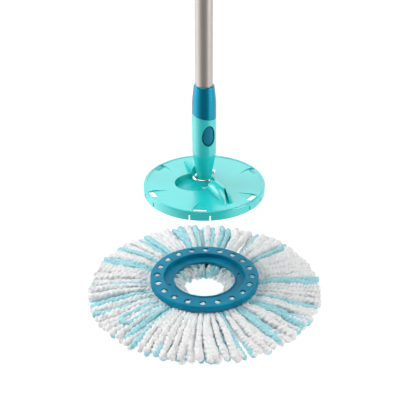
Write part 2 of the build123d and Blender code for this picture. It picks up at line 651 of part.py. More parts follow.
def end_cap():
    eye_z = UPPER_TOP_Z + 10 + EYE_RADIUS + EYE_WALL
    reach = EYE_RADIUS + EYE_WALL
    dome = rod(GRIP_RADIUS, UPPER_TOP_Z, UPPER_TOP_Z + 9)
    dome = fillet(rim(dome, UPPER_TOP_Z + 9), 6)
    plug = rod(UPPER_BORE, UPPER_TOP_Z - 25, UPPER_TOP_Z + 0.5)
    plate = Pos(0, 0, eye_z) * Rot(90, 0, 0) * Cylinder(reach, EYE_THICKNESS)
    stalk = Pos(0, 0, (eye_z + UPPER_TOP_Z) / 2) * Box(2 * reach, EYE_THICKNESS, eye_z - UPPER_TOP_Z)
    loop = plate + stalk
    hole = Pos(0, 0, eye_z) * Rot(90, 0, 0) * Cylinder(EYE_RADIUS, 40)
    return dome + [plug, loop] - hole


PIECES = {
    "clamp_ring": clamp_ring,
    "counter_ring": counter_ring,
    "mop_plate": mop_plate,
    "joint_wire": joint_wire,
    "handle_socket": handle_socket,
    "click_collar": click_collar,
    "release_button": release_button,
    "button_spring": button_spring,
    "lower_tube": lower_tube,
    "guide_bush": guide_bush,
    "snap_ring_top": snap_ring_top,
    "snap_ring_bottom": snap_ring_bottom,
    "clutch_seat": clutch_seat,
    "drive_nut": drive_nut,
    "clutch_spring": clutch_spring,
    "clutch_cap": clutch_cap,
    "twisted_rod": twisted_rod,
    "rod_anchor": rod_anchor,
    "anchor_pin": anchor_pin,
    "upper_tube": upper_tube,
    "bottom_bush": bottom_bush,
    "lock_collar": lock_collar,
    "hand_grip": hand_grip,
    "end_cap": end_cap,
}

os.makedirs("parts", exist_ok=True)
for name, make in PIECES.items():
    export_step(make(), f"parts/{name}.step")
for number in range(SECTORS):
    export_step(white_yarn(number), f"parts/white_yarn_{number + 1:02d}.step")
    export_step(aqua_yarn(number), f"parts/aqua_yarn_{number + 1:02d}.step")
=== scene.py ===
# %% [markdown]
# # A spin mop with its head unclipped
# The real thing is a steel handle on a mint green plate, and a round microfibre head that clips under it.
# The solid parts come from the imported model, already in place and at real size.
# What is left for Blender is the finish of every surface, one spring that changes its length,
# and the yarn, which is far too soft for solids.

# %% Load the model
import json
import math

import bpy
import numpy as np
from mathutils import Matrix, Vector


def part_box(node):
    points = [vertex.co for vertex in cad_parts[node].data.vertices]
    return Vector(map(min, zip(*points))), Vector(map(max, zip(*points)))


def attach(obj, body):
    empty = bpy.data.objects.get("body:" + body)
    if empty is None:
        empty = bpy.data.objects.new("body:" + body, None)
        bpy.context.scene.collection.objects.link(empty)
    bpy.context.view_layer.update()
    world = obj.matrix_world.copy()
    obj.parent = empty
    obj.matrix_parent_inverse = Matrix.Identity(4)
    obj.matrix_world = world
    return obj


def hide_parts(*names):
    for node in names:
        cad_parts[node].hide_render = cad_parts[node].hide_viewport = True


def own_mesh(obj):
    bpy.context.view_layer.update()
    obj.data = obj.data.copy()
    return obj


MM = 0.001

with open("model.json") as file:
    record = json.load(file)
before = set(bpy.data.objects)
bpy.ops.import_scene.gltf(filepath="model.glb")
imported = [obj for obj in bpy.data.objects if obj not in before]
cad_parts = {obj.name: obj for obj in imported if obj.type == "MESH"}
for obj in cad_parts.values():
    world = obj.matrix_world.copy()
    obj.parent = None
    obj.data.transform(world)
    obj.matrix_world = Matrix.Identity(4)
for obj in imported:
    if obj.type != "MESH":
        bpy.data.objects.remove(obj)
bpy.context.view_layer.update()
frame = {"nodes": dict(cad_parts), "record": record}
scene = bpy.context.scene

# %% [markdown]
# ## Camera
# The photograph looks down on the head by about 30 degrees, from the left of the release button.
# A camera can be placed by eye, but here its angle, distance and lens were worked out from ellipses:
# a circle seen from above shrinks in height by the sine of the camera's elevation.

# %% Camera
CAMERA_AZIMUTH = math.radians(-25.0)
CAMERA_ELEVATION = math.radians(29.94)
CAMERA_DISTANCE = 1.30187
CAMERA_LENS = 83.44
SENSOR_WIDTH = 36.0
AIM_OFFSET = 4.95 * MM
AIM_HEIGHT = 138.93 * MM

camera_right = Vector((math.cos(CAMERA_AZIMUTH), math.sin(CAMERA_AZIMUTH), 0))
camera_front = Vector((math.sin(CAMERA_AZIMUTH), -math.cos(CAMERA_AZIMUTH), 0))
towards_camera = camera_front * math.cos(CAMERA_ELEVATION) + Vector((0, 0, math.sin(CAMERA_ELEVATION)))
aim = camera_right * AIM_OFFSET + Vector((0, 0, AIM_HEIGHT))

lens = bpy.data.cameras.new("photo_camera")
lens.lens = CAMERA_LENS
lens.sensor_width = SENSOR_WIDTH
camera = bpy.data.objects.new("photo_camera", lens)
scene.collection.objects.link(camera)
camera.location = aim + towards_camera * CAMERA_DISTANCE
camera.rotation_euler = (-towards_camera).to_track_quat("-Z", "Y").to_euler()
scene.camera = camera
print("camera at", [round(x, 3) for x in camera.location])

# %% [markdown]
# ## Tools for nodes
# The studio's surroundings, the shared effects and the materials are all made of nodes.
# Each could be set up by hand, but that takes many lines that all say the same,
# so a few short functions add a node, feed it and hand back its result.

# %% Helpers for nodes


def grey(level):
    """Colour with the same red, green and blue."""
    return level, level, level, 1


def feed(tree, socket, value):
    """Links a socket to another one, or sets it to a plain value."""
    if isinstance(value, bpy.types.NodeSocket):
        tree.links.new(value, socket)
    else:
        socket.default_value = value


def add_node(tree, kind, **settings):
    """Adds a node and sets its properties and unlinked inputs by name."""
    node = tree.nodes.new(kind)
    for key, value in settings.items():
        if hasattr(node, key):
            setattr(node, key, value)
        else:
            node.inputs[key.replace("_", " ")].default_value = value
    return node


def math_node(tree, operation, *values, use_clamp=False):
    """Result of a Math node; each value is a socket or a number."""
    node = add_node(tree, "ShaderNodeMath", operation=operation, use_clamp=use_clamp)
    for socket, value in zip(node.inputs, values):
        feed(tree, socket, value)
    return node.outputs["Value"]


print("node helpers ready")

# %% [markdown]
# ## Floor
# The mop was shot in a white studio, with no visible corner and hardly a shadow.
# A white floor under bright lamps would do the same, but then every lamp would change how bright it is.
# So the floor is a mid grey that glows by itself: pale to the camera, with only the faintest shadow on it.
# A pale floor would also mirror in the steel and wash out the plastic, so glossy rays don't see it.

# %% Floor
FLOOR_HALF = 6.0
FLOOR_DROP = 1.0 * MM
FLOOR_COLOUR = grey(0.25)
FLOOR_GLOW = 0.87

floor_mesh = bpy.data.meshes.new("studio_floor")
floor_corners = [(-1, -1), (1, -1), (1, 1), (-1, 1)]
floor_mesh.from_pydata([(x * FLOOR_HALF, y * FLOOR_HALF, 0) for x, y in floor_corners], [], [(0, 1, 2, 3)])
floor = bpy.data.objects.new("studio_floor", floor_mesh)
scene.collection.objects.link(floor)
floor.location.z = -FLOOR_DROP
floor.visible_glossy = False

paper = bpy.data.materials.new("studio_paper")
paper.use_nodes = True
paper_shader = paper.node_tree.nodes["Principled BSDF"]
paper_shader.inputs["Base Color"].default_value = FLOOR_COLOUR
paper_shader.inputs["Roughness"].default_value = 1.0
paper_shader.inputs["Specular IOR Level"].default_value = 0.0
paper_shader.inputs["Emission Color"].default_value = grey(1)
paper_shader.inputs["Emission Strength"].default_value = FLOOR_GLOW
floor_mesh.materials.append(paper)
print("floor of", 2 * FLOOR_HALF, "m")

# %% [markdown]
# ## Light
# In the photograph the side of each round part that faces the lens is dark, and its flanks are bright.
# That dark front is what draws the shape, so no lamp stands near the camera.
# A box on the left and a strip on the right make the long bright bands on the handle, and a box above
# lights the yarn. The light from behind is two lamps in one place: a strong one that only shows as shine,
# and a weaker one that only lights surfaces, so that what faces the back isn't burnt out.

# %% Lights
LIGHT_AIM = Vector((0, 0, 0.15))
# The turn is in degrees from the camera's side, positive to the right.
# Distances and sizes are in metres, power is in watts.
LIGHTS = {
    "left_box": dict(turn=-100, distance=1.5, height=0.90, width=0.9, tall=1.2, power=19),
    "right_strip": dict(turn=75, distance=1.5, height=0.70, width=0.4, tall=1.4, power=12),
    "back_shine": dict(turn=180, distance=2.2, height=1.30, width=5.0, tall=2.0, power=62, only="gloss"),
    "back_fill": dict(turn=180, distance=2.2, height=1.30, width=5.0, tall=2.0, power=19, only="diffuse"),
    "top_box": dict(turn=-60, distance=0.5, height=3.2, width=2.0, tall=2.0, power=49),
}


def soft_box(name, turn, distance, height, width, tall, power, only=None):
    """Area light that is aimed at the plate and lights everything, or only shine, or only plain surfaces."""
    light = bpy.data.lights.new(name, "AREA")
    light.shape = "RECTANGLE"
    light.size = width
    light.size_y = tall
    light.energy = power
    lamp = bpy.data.objects.new(name, light)
    scene.collection.objects.link(lamp)
    out = camera_front * math.cos(math.radians(turn)) + camera_right * math.sin(math.radians(turn))
    lamp.location = out * distance + Vector((0, 0, height))
    lamp.rotation_euler = (LIGHT_AIM - lamp.location).to_track_quat("-Z", "Y").to_euler()
    lamp.visible_diffuse = only != "gloss"
    lamp.visible_glossy = only != "diffuse"


for name, settings in LIGHTS.items():
    soft_box(name, **settings)
scene.view_settings.view_transform = "Standard"
print(len(LIGHTS), "lights")

# %% [markdown]
# ## World
# The camera looks down, so an upright tube mirrors what lies below the horizon: in the studio, a table
# that is bright on the left and on the right and dark in front. The floor here hides from glossy rays,
# so the lower half of the world is free to play that table. A colour ramp gives its brightness all the way
# round, starting behind the mop. A picture of a studio would give softer mirrors, but a ramp is easy to tune.

# %% Table round the mop
FULL_TURN = 2 * math.pi
LOWER_GLOW = 3.0
# Share of the way round and brightness there.
TABLE = [
    (0.00, 0.25), (0.10, 0.32), (0.18, 0.75), (0.25, 0.85), (0.29, 0.68), (0.34, 0.42), (0.38, 0.20),
    (0.42, 0.06), (0.47, 0.01), (0.56, 0.01), (0.61, 0.10), (0.65, 0.56), (0.71, 0.62), (0.75, 0.45),
    (0.82, 0.42), (0.90, 0.36), (1.00, 0.25),
]

scene.world = bpy.data.worlds.new("studio")
scene.world.use_nodes = True
sky = scene.world.node_tree
ray = add_node(sky, "ShaderNodeTexCoord").outputs["Generated"]


def ray_along(axis):
    """How far a ray goes along an axis."""
    node = add_node(sky, "ShaderNodeVectorMath", operation="DOT_PRODUCT")
    feed(sky, node.inputs[0], ray)
    feed(sky, node.inputs[1], axis)
    return node.outputs["Value"]


bearing = math_node(sky, "ARCTAN2", ray_along(camera_right), ray_along(camera_front))
way_round = math_node(sky, "MULTIPLY_ADD", bearing, 1 / FULL_TURN, 0.5)
ramp = add_node(sky, "ShaderNodeValToRGB")
ramp.color_ramp.interpolation = "EASE"
stops = ramp.color_ramp.elements
for position, level in TABLE[1:-1]:
    stops.new(position).color = grey(level)
stops[0].color = grey(TABLE[0][1])
stops[-1].color = grey(TABLE[-1][1])
feed(sky, ramp.inputs["Fac"], way_round)
table_glow = math_node(sky, "MULTIPLY", ramp.outputs["Color"], LOWER_GLOW)
print("table with", len(TABLE), "steps round the mop")

# %% [markdown]
# ### Upper half and backdrop
# A photographer's room is dim apart from its lamps, so the upper half of the world is an even dark grey.
# Where the camera looks past the floor's edge, that grey would stand behind the mop like a wall.
# The floor could be made larger still, but it never reaches the horizon, so the world turns pale
# for rays that come straight from the camera.

# %% Upper half and backdrop
UPPER_GLOW = 0.14
BACKDROP = 0.86


def switch(chooser, chosen, otherwise):
    """One value where the chooser is one, and the other where it is zero."""
    return math_node(sky, "MULTIPLY_ADD", chooser, math_node(sky, "SUBTRACT", chosen, otherwise), otherwise)


below = math_node(sky, "LESS_THAN", ray_along((0, 0, 1)), 0.0)
seen = add_node(sky, "ShaderNodeLightPath").outputs["Is Camera Ray"]
glow = switch(seen, BACKDROP, switch(below, table_glow, UPPER_GLOW))
sky.nodes["Background"].inputs["Color"].default_value = grey(1)
feed(sky, sky.nodes["Background"].inputs["Strength"], glow)
print("world of", len(sky.nodes), "nodes")

# %% [markdown]
# ## Shared effects
# Several materials need the same thing: moulded plastic has faint flow marks and a fine grain,
# drawn metal has lines along its length, and yarn has a looped pile. The nodes could be copied from material
# to material, but here each effect is one shader node group, built once, so that a change to the grain
# reaches every plastic piece at once.

# %% Helpers for effects
# The Mix node has sockets of the same name for each kind of value, so its colour sockets go by number.
MIX_AMOUNT, MIX_FIRST, MIX_SECOND, MIX_RESULT = 0, 6, 7, 2


def mix_colour(tree, amount, first, second):
    """Mix of two colours."""
    node = add_node(tree, "ShaderNodeMix", data_type="RGBA")
    for number, value in ((MIX_AMOUNT, amount), (MIX_FIRST, first), (MIX_SECOND, second)):
        feed(tree, node.inputs[number], value)
    return node.outputs[MIX_RESULT]


def spread(tree, socket, low, high, to_low=0.0, to_high=1.0):
    """Stretches a value's range, held at its ends."""
    node = add_node(tree, "ShaderNodeMapRange", From_Min=low, From_Max=high, To_Min=to_low, To_Max=to_high)
    tree.links.new(socket, node.inputs["Value"])
    return node.outputs["Result"]


def effect(name, inputs):
    """New shader node group with these inputs, which hands over a colour, a roughness and a height."""
    group = bpy.data.node_groups.new(name, "ShaderNodeTree")
    for label, default in inputs.items():
        kind = "NodeSocketColor" if isinstance(default, tuple) else "NodeSocketFloat"
        group.interface.new_socket(label, in_out="INPUT", socket_type=kind).default_value = default
    group.interface.new_socket("Colour", in_out="OUTPUT", socket_type="NodeSocketColor")
    for label in ("Roughness", "Height"):
        group.interface.new_socket(label, in_out="OUTPUT", socket_type="NodeSocketFloat")
    return group, group.nodes.new("NodeGroupInput")


def hand_over(group, colour, roughness, height):
    """Links the results of an effect to its outputs."""
    made = group.nodes.new("NodeGroupOutput")
    for label, socket in (("Colour", colour), ("Roughness", roughness), ("Height", height)):
        group.links.new(socket, made.inputs[label])


print("effect helpers ready")

# %% [markdown]
# ### Moulded plastic
# Plastic that is pressed hot into a steel mould keeps faint clouds from its flow, and it takes a fine grain
# from the mould's wall. A picture of such a surface could be wrapped round each part, but it blurs up close,
# so two noises make clouds and grain at their real size.

# %% Moulded plastic effect
CLOUD_SCALE = 38.0
GRAIN_ROUGHNESS = 0.08


def build_moulding():
    """Faint cloudy flow marks, a fine eggshell grain and a roughness that follows the grain."""
    group, given = effect("moulded_surface", {
        "Colour": grey(1), "Deep Colour": grey(0), "Flow": 0.3, "Roughness": 0.35, "Grain Scale": 2500.0})
    where = add_node(group, "ShaderNodeTexCoord")
    clouds = add_node(group, "ShaderNodeTexNoise", Scale=CLOUD_SCALE, Detail=4.0, Roughness=0.55)
    grain = add_node(group, "ShaderNodeTexNoise", Detail=2.0, Roughness=0.6)
    for texture in (clouds, grain):
        group.links.new(where.outputs["Object"], texture.inputs["Vector"])
    group.links.new(given.outputs["Grain Scale"], grain.inputs["Scale"])
    cloud = spread(group, clouds.outputs["Fac"], low=0.35, high=0.65)
    flow = math_node(group, "MULTIPLY", cloud, given.outputs["Flow"])
    speck = grain.outputs["Fac"]
    hand_over(
        group,
        colour=mix_colour(group, flow, given.outputs["Colour"], given.outputs["Deep Colour"]),
        roughness=math_node(group, "MULTIPLY_ADD", speck, GRAIN_ROUGHNESS, given.outputs["Roughness"]),
        height=speck)
    return group


moulding = build_moulding()
print("effect", moulding.name)

# %% [markdown]
# ### Drawn metal
# Tube and wire are pulled through a die, which leaves fine lines along them. Single scratches could be drawn,
# but there are thousands, so one noise is stretched along the handle until its specks become lines.

# %% Drawn metal effect
LINE_STRETCH = (1, 1, 0.006)
LINE_ROUGHNESS = 0.1


def build_drawing():
    """Lines along Z from pulling the metal through a die, in colour, roughness and height."""
    group, given = effect("drawn_metal", {
        "Colour": grey(1), "Line Colour": grey(0), "Roughness": 0.3, "Line Scale": 1500.0})
    where = add_node(group, "ShaderNodeTexCoord")
    stretch = add_node(group, "ShaderNodeMapping", Scale=LINE_STRETCH)
    lines = add_node(group, "ShaderNodeTexNoise", Detail=3.0, Roughness=0.6)
    group.links.new(where.outputs["Object"], stretch.inputs["Vector"])
    group.links.new(stretch.outputs["Vector"], lines.inputs["Vector"])
    group.links.new(given.outputs["Line Scale"], lines.inputs["Scale"])
    line = spread(group, lines.outputs["Fac"], low=0.3, high=0.7)
    hand_over(
        group,
        colour=mix_colour(group, line, given.outputs["Colour"], given.outputs["Line Colour"]),
        roughness=math_node(group, "MULTIPLY_ADD", line, LINE_ROUGHNESS, given.outputs["Roughness"]),
        height=line)
    return group


drawing = build_drawing()
print("effect", drawing.name)

# %% [markdown]
# ### Looped pile
# Microfibre yarn is covered in tiny loops. Modelled one by one they would take millions of faces, so a cell
# pattern gives their height and a noise gives soft patches of tone. Between two plies a painted shade makes
# the colour deeper: the mesh of a cord carries that painted shade as an attribute named for the furrow.

# %% Looped pile effect
FUZZ_SCALE = 260.0
PATCH_SHADE = 0.35


def build_pile():
    """Microfibre pile: tiny loops in height, a painted shade in the furrows of the twist and soft patches of
    tone.
    """
    group, given = effect("looped_pile", {
        "Colour": grey(1), "Furrow Colour": grey(0), "Loop Scale": 900.0})
    where = add_node(group, "ShaderNodeTexCoord")
    furrow_shade = add_node(group, "ShaderNodeAttribute", attribute_name="furrow_shade")
    loops = add_node(group, "ShaderNodeTexVoronoi", feature="SMOOTH_F1", Smoothness=0.6)
    fuzz = add_node(group, "ShaderNodeTexNoise", Scale=FUZZ_SCALE, Detail=4.0, Roughness=0.7)
    for texture in (loops, fuzz):
        group.links.new(where.outputs["Object"], texture.inputs["Vector"])
    group.links.new(given.outputs["Loop Scale"], loops.inputs["Scale"])
    patch = spread(group, fuzz.outputs["Fac"], low=0.4, high=0.75, to_high=PATCH_SHADE)
    # Mix amount: random patches of tone plus the painted shade in the furrows of the twist.
    shade = math_node(group, "ADD", patch, furrow_shade.outputs["Fac"], use_clamp=True)
    hand_over(
        group,
        colour=mix_colour(group, shade, given.outputs["Colour"], given.outputs["Furrow Colour"]),
        roughness=spread(group, fuzz.outputs["Fac"], low=0.3, high=0.7, to_low=0.85, to_high=1.0),
        height=math_node(group, "SUBTRACT", fuzz.outputs["Fac"], loops.outputs["Distance"]))
    return group


pile = build_pile()
print("effect", pile.name)

# %% [markdown]
# ## Materials
# A material here is one Principled shader fed by one effect. Values that never change over a surface
# sit on the shader's own sockets. The bump is small: what reads as shape is real geometry.

# %% Helper for materials


def finish_of(name, effect_group, bump, depth, feeds, **shader_values):
    """Material with a Principled shader whose colour, roughness and bump come from an effect."""
    material = bpy.data.materials.new(name)
    material.use_nodes = True
    tree = material.node_tree
    shader = tree.nodes["Principled BSDF"]
    use = add_node(tree, "ShaderNodeGroup", node_tree=effect_group)
    for label, value in feeds.items():
        use.inputs[label].default_value = value
    relief = add_node(tree, "ShaderNodeBump", Strength=bump, Distance=depth)
    tree.links.new(use.outputs["Height"], relief.inputs["Height"])
    tree.links.new(use.outputs["Colour"], shader.inputs["Base Color"])
    tree.links.new(use.outputs["Roughness"], shader.inputs["Roughness"])
    tree.links.new(relief.outputs["Normal"], shader.inputs["Normal"])
    for label, value in shader_values.items():
        shader.inputs[label.replace("_", " ")].default_value = value
    return material


print("material helper ready")

# %% [markdown]
# ### Plastics
# Plate and socket are one glossy mint plastic, and the hand grip is a duller one of the same colour.
# There are three blues: the ring is dull, the button is stippled to give the thumb some hold, and the collar
# is pearly. Flakes in pearly plastic mirror in its own colour. A clear coat would add a white mirror instead,
# and a full metal would look like paint on steel, so the collar is half metallic.
# Bushes, nut and clutch inside the handle are plain grey.

# %% Plastics
MINT = (0.004, 0.630, 0.620, 1)
MINT_DEEP = (0.003, 0.560, 0.550, 1)
RING_BLUE = (0.002, 0.275, 0.450, 1)
RING_BLUE_DEEP = (0.002, 0.185, 0.305, 1)
COLLAR_BLUE = (0.003, 0.250, 0.385, 1)
COLLAR_BLUE_DEEP = (0.002, 0.215, 0.335, 1)
BUTTON_BLUE = (0.002, 0.200, 0.330, 1)
BUTTON_BLUE_DEEP = (0.001, 0.120, 0.200, 1)
GREY = (0.34, 0.35, 0.36, 1)
GREY_DEEP = (0.26, 0.27, 0.28, 1)

mint_plastic = finish_of(
    "mint_plastic", moulding, bump=0.15, depth=0.05 * MM, Specular_IOR_Level=1.0,
    feeds={"Colour": MINT, "Deep Colour": MINT_DEEP, "Flow": 0.5, "Roughness": 0.23, "Grain Scale": 2600.0})
ring_plastic = finish_of(
    "ring_plastic", moulding, bump=0.4, depth=0.08 * MM, Specular_IOR_Level=0.10,
    feeds={"Colour": RING_BLUE, "Deep Colour": RING_BLUE_DEEP,
           "Flow": 0.7, "Roughness": 0.38, "Grain Scale": 1500.0})
collar_plastic = finish_of(
    "collar_plastic", moulding, bump=0.15, depth=0.05 * MM, Metallic=0.5, Specular_IOR_Level=0.2,
    feeds={"Colour": COLLAR_BLUE, "Deep Colour": COLLAR_BLUE_DEEP,
           "Flow": 0.5, "Roughness": 0.20, "Grain Scale": 2600.0})
stippled_blue = finish_of(
    "stippled_blue", moulding, bump=0.8, depth=0.25 * MM, Specular_IOR_Level=0.15,
    feeds={"Colour": BUTTON_BLUE, "Deep Colour": BUTTON_BLUE_DEEP,
           "Flow": 0.8, "Roughness": 0.40, "Grain Scale": 900.0})
grey_plastic = finish_of(
    "grey_plastic", moulding, bump=0.2, depth=0.05 * MM,
    feeds={"Colour": GREY, "Deep Colour": GREY_DEEP, "Flow": 0.6, "Roughness": 0.45, "Grain Scale": 2000.0})
grip_plastic = finish_of(
    "grip_plastic", moulding, bump=0.6, depth=0.15 * MM,
    feeds={"Colour": MINT, "Deep Colour": MINT_DEEP, "Flow": 0.6, "Roughness": 0.52, "Grain Scale": 1400.0})
print("six plastics")

# %% [markdown]
# ### Metals
# The handle is thin steel tube, with the soft warm shine of a satin lacquer. It could be a rough metal,
# but lacquer scatters part of the light before the steel mirrors it, so the tube is a little less
# than half metallic.
# The joint's wire, the springs and the twisted rod are bare, so they are full metals.

# %% Metals
STEEL = (0.475, 0.438, 0.40, 1)
STEEL_LINE = (0.41, 0.372, 0.335, 1)
WIRE = (0.80, 0.79, 0.78, 1)
WIRE_LINE = (0.62, 0.60, 0.58, 1)

satin_steel = finish_of(
    "satin_steel", drawing, bump=0.08, depth=0.03 * MM, Metallic=0.45,
    feeds={"Colour": STEEL, "Line Colour": STEEL_LINE, "Roughness": 0.26, "Line Scale": 1500.0})
spring_steel = finish_of(
    "spring_steel", drawing, bump=0.1, depth=0.03 * MM, Metallic=1.0,
    feeds={"Colour": STEEL, "Line Colour": STEEL_LINE, "Roughness": 0.32, "Line Scale": 2500.0})
bright_wire = finish_of(
    "bright_wire", drawing, bump=0.05, depth=0.02 * MM, Metallic=1.0,
    feeds={"Colour": WIRE, "Line Colour": WIRE_LINE, "Roughness": 0.12, "Line Scale": 2500.0})
print("three metals")

# %% [markdown]
# ### Yarn
# Microfibre is dyed right through, so a cord has one colour with soft random patches of tone; the furrows of
# its twist are darkened by painted shade.
# Its fuzz catches light at the rim. That could be done with more loose fibres, but a little sheen is lighter.

# %% Yarn colours
WHITE_YARN = (0.935, 0.912, 0.912, 1)
# Darker colour of each yarn: reached in random patches of tone and as painted shade in the furrows of the
# twist.
WHITE_PATCH_AND_SHADE = (0.74, 0.73, 0.74, 1)
AQUA_YARN = (0.47, 0.79, 0.85, 1)
AQUA_PATCH_AND_SHADE = (0.22, 0.57, 0.64, 1)

white_fibre = finish_of(
    "white_fibre", pile, bump=0.6, depth=0.5 * MM, Sheen_Weight=0.2, Specular_IOR_Level=0.1,
    feeds={"Colour": WHITE_YARN, "Furrow Colour": WHITE_PATCH_AND_SHADE, "Loop Scale": 900.0})
aqua_fibre = finish_of(
    "aqua_fibre", pile, bump=0.6, depth=0.5 * MM, Sheen_Weight=0.2, Specular_IOR_Level=0.1,
    feeds={"Colour": AQUA_YARN, "Furrow Colour": AQUA_PATCH_AND_SHADE, "Loop Scale": 900.0})
print(len(bpy.data.materials), "materials with the floor's")

# %% [markdown]
# ## Dressing the solid parts
# Each solid could be given its material by name, but the record already says which finish each one has,
# so one loop can dress them all. Collar and button share the ring's entry there and get their own blues.

# %% Give each solid its finish
FINISHES = {
    "mint_plastic": mint_plastic,
    "blue_plastic": ring_plastic,
    "grey_plastic": grey_plastic,
    "mint_grip": grip_plastic,
    "satin_steel": satin_steel,
    "spring_steel": spring_steel,
    "bright_wire": bright_wire,
    "white_fibre": white_fibre,
    "aqua_fibre": aqua_fibre,
}
OWN_BLUES = {"click_collar": collar_plastic, "release_button": stippled_blue}

slot_of = {row["node"]: row["material_slot"] for row in frame["record"]["subparts"]}
for node, solid in frame["nodes"].items():
    solid.data.materials.clear()
    solid.data.materials.append(OWN_BLUES.get(node, FINISHES[slot_of[node]]))
print(len(frame["nodes"]), "solids dressed")

# %% [markdown]
# ## Tools for meshes
# The spring and the yarn are both tubes along a line: rings of corners, joined by faces. A curve with a bevel
# gives a tube as well, but with the same section all the way, and it leaves no mesh to keep.

# %% Helpers for meshes


def tube_faces(rings, sides):
    """Four-sided faces between rings of corners, and one face over each end.

    They look outwards if the rings turn to the left, seen along the tube from its start.
    """
    corner = np.arange(rings * sides).reshape(rings, sides)
    after = np.roll(corner, -1, axis=1)
    faces = np.stack([corner[:-1], corner[1:], after[1:], after[:-1]], axis=-1).reshape(-1, 4).tolist()
    return faces + [corner[0].tolist(), corner[-1][::-1].tolist()]


def smooth_piece(name, points, faces, material):
    """New mesh object in the scene, smooth shaded, with one material."""
    mesh = bpy.data.meshes.new(name)
    mesh.from_pydata(points, [], faces)
    mesh.polygons.foreach_set("use_smooth", [True] * len(mesh.polygons))
    mesh.materials.append(material)
    mesh.update()
    piece = bpy.data.objects.new(name, mesh)
    scene.collection.objects.link(piece)
    return piece


print("mesh helpers ready")

# %% [markdown]
# ## Spring of the release button
# A coil of thin wire behind the button pushes it out again. It is the one metal part that changes its length,
# and a solid can't do that, so a mesh of the same coil takes its place; here the mesh keeps one length.
# Its last turns lie close, as on a real spring that has to stand flat. When the button goes in, the real
# coil is squashed against its far end.

# %% Line of the coil
COIL_RADIUS = 4.0 * MM
COIL_WIRE = 0.45 * MM
COIL_TURNS = 6
END_TURN_RISE = 0.06
TURN_STEPS = 40

coil_low, coil_high = (Vector(corner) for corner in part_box("button_spring"))
coil_length = coil_high.y - coil_low.y
coil_middle = (coil_low + coil_high) / 2
turns = np.linspace(0, COIL_TURNS, COIL_TURNS * TURN_STEPS + 1)
climb = np.interp(turns, [0, 1, COIL_TURNS - 1, COIL_TURNS], [0, END_TURN_RISE, 1 - END_TURN_RISE, 1])
coil_line = np.stack([
    coil_middle.x + COIL_RADIUS * np.cos(FULL_TURN * turns),
    coil_low.y + COIL_WIRE + (coil_length - 2 * COIL_WIRE) * climb,
    coil_middle.z + COIL_RADIUS * np.sin(FULL_TURN * turns)], axis=1)
print("coil", round(coil_length / MM, 1), "mm long")

# %% Coil as a mesh
WIRE_SIDES = 10

outward = (coil_line - np.array(coil_middle)) * (1, 0, 1) / COIL_RADIUS
round_wire = -np.arange(WIRE_SIDES) * FULL_TURN / WIRE_SIDES
wire_skin = coil_line[:, None, :] + COIL_WIRE * (
    np.cos(round_wire)[None, :, None] * outward[:, None, :]
    + np.sin(round_wire)[None, :, None] * np.array([0, 1.0, 0]))
wire_faces = tube_faces(len(coil_line), WIRE_SIDES)
coil = smooth_piece("button_coil", wire_skin.reshape(-1, 3), wire_faces, spring_steel)
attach(coil, "lower_handle")
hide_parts("button_spring")
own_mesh(coil)
print("coil of", len(wire_faces), "faces")

# %% [markdown]
# ## One cord of yarn
# Each mop strand is a soft cord of two plies twisted together, thin where the ring clamps it
# and fat at its tip. Hair particles would be quick, but they can't show the twist,
# and they leave no mesh to keep.
# So a cord is a tube with many rings, made in five steps: path, room, radius, twist and loose fibres.
# Every random number comes from one seeded source, so that the head is the same each time.
# The path is a smooth curve through a few points, cut into even steps.

# %% Path of a cord
RING_STEP = 1.1 * MM
FEWEST_STEPS = 6
TINY = 1e-9
YARN_SEED = 7
yarn_random = np.random.default_rng(YARN_SEED)


def smooth_path(points):
    """Evenly spaced points on a smooth curve through a few, which are rows of x, y, z."""
    points = np.asarray(points, float)
    steps = np.linalg.norm(np.diff(points, axis=0), axis=1)
    at = np.concatenate([[0], np.cumsum(steps)])
    ahead = np.vstack([2 * points[0] - points[1], points, 2 * points[-1] - points[-2]])
    both_sides = np.concatenate([[steps[0]], steps]) + np.concatenate([steps, [steps[-1]]])
    slope = (ahead[2:] - ahead[:-2]) / np.maximum(both_sides, TINY)[:, None]
    count = max(int(at[-1] / RING_STEP), FEWEST_STEPS)
    want = np.linspace(0, at[-1], count + 1)
    piece = np.clip(np.searchsorted(at, want, side="right") - 1, 0, len(steps) - 1)
    length = steps[piece][:, None]
    t = ((want - at[piece]) / steps[piece])[:, None]
    return (
        (2 * t**3 - 3 * t**2 + 1) * points[piece] + (t**3 - 2 * t**2 + t) * length * slope[piece]
        + (3 * t**2 - 2 * t**3) * points[piece + 1] + (t**3 - t**2) * length * slope[piece + 1])


def across_path(path):
    """For each point of a path, two directions square to it: level, and upwards."""
    ahead = np.gradient(path, axis=0)
    ahead /= np.linalg.norm(ahead, axis=1)[:, None]
    level = np.cross(ahead, [0, 0, 1.0])
    level /= np.maximum(np.linalg.norm(level, axis=1), TINY)[:, None]
    return level, np.cross(level, ahead)


print("a ring of the cord every", RING_STEP / MM, "mm")

# %% [markdown]
# ### Room for the yarn
# Once the head is clipped on, the plate's skirt sits on the yarn just outside the ring and presses it down.
# Real yarn would give way at that moment, and a simulation could show it. This yarn keeps its shape, so it has
# a shallow groove for the skirt from the start, and it stays above the floor and below the ring's top.

# %% Press
YARN_TOP = 29.8 * MM
SKIRT_FOOT = 20.2 * MM
SKIRT_MIDDLE = 79.2 * MM
SKIRT_HALF = 2.2 * MM
GROOVE_SLOPE = 1.5


def press(points):
    """Moves points of the yarn down or up to where there is room for them."""
    beside = np.abs(np.hypot(points[..., 0], points[..., 1]) - SKIRT_MIDDLE)
    room = SKIRT_FOOT + GROOVE_SLOPE * np.maximum(beside - SKIRT_HALF, 0)
    points[..., 2] = np.clip(points[..., 2], 0, np.minimum(room, YARN_TOP))


print("groove for the skirt at radius", SKIRT_MIDDLE / MM, "mm")

